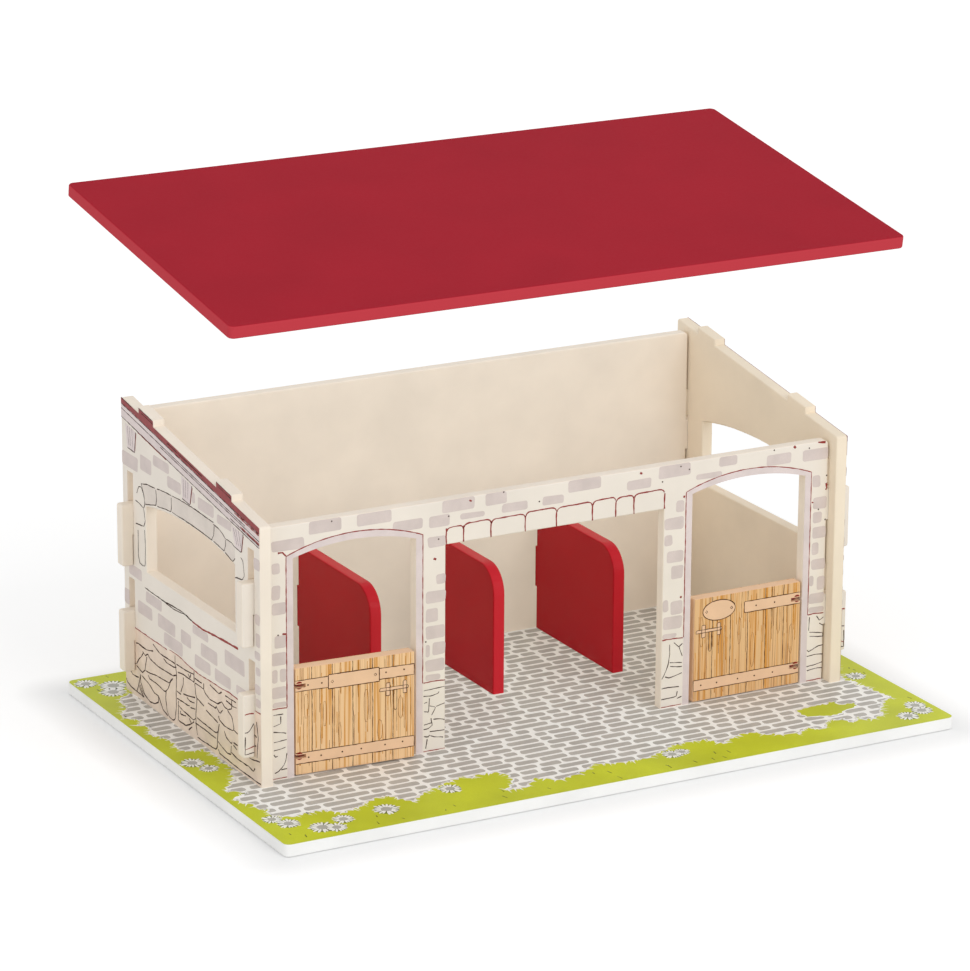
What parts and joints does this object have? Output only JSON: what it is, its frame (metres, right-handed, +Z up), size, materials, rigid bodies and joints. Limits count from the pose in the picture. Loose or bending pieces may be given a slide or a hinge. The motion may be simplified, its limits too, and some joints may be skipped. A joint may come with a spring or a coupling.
{
  "type": "toy horse stable",
  "caption": "Toy horse stable of slot-together printed boards on a base, with hinged half doors, stall dividers and a lift-off sloping roof.",
  "frame": {"origin": "centre of the base plate's underside", "axes": "+X along the front to the right, +Y to the rear, +Z up"},
  "size_m": [0.47, 0.32, 0.3397],
  "materials": {
    "printed_wall_board": "matt print on board",
    "printed_base_board": "matt print on board",
    "printed_door_board": "matt print on board",
    "red_painted_board": "satin paint",
    "hinge_steel": "dark red lacquer on steel wire"
  },
  "bodies": {
    "stable": {"base_plate": "printed_base_board", "left_side_panel": "printed_wall_board", "right_side_panel": "printed_wall_board", "front_wall": "printed_wall_board", "back_wall": "printed_wall_board", "stall_divider_left": "red_painted_board", "stall_divider_middle": "red_painted_board", "stall_divider_right": "red_painted_board", "left_door_upper_eye": "hinge_steel", "left_door_lower_eye": "hinge_steel", "right_door_upper_eye": "hinge_steel", "right_door_lower_eye": "hinge_steel"},
    "left_door_leaf": {"left_door": "printed_door_board", "left_door_pin": "hinge_steel"},
    "right_door_leaf": {"right_door": "printed_door_board", "right_door_pin": "hinge_steel"},
    "roof": {"roof_panel": "red_painted_board"}
  },
  "joints": [
    {"name": "left_door_hinge", "type": "hinge", "parent": "stable", "child": "left_door_leaf", "pos_m": [-0.1758, -0.058, 0.009], "axis": [0, 0, 1], "range_deg": [-86.5, 93.5]},
    {"name": "right_door_hinge", "type": "hinge", "parent": "stable", "child": "right_door_leaf", "pos_m": [0.1758, -0.058, 0.009], "axis": [0, 0, 1], "range_deg": [-90, 90]},
    {"name": "roof_lift", "type": "slide", "parent": "stable", "child": "roof", "axis": [0, 0, 1], "range_m": [-0.126, 0]}
  ]
}
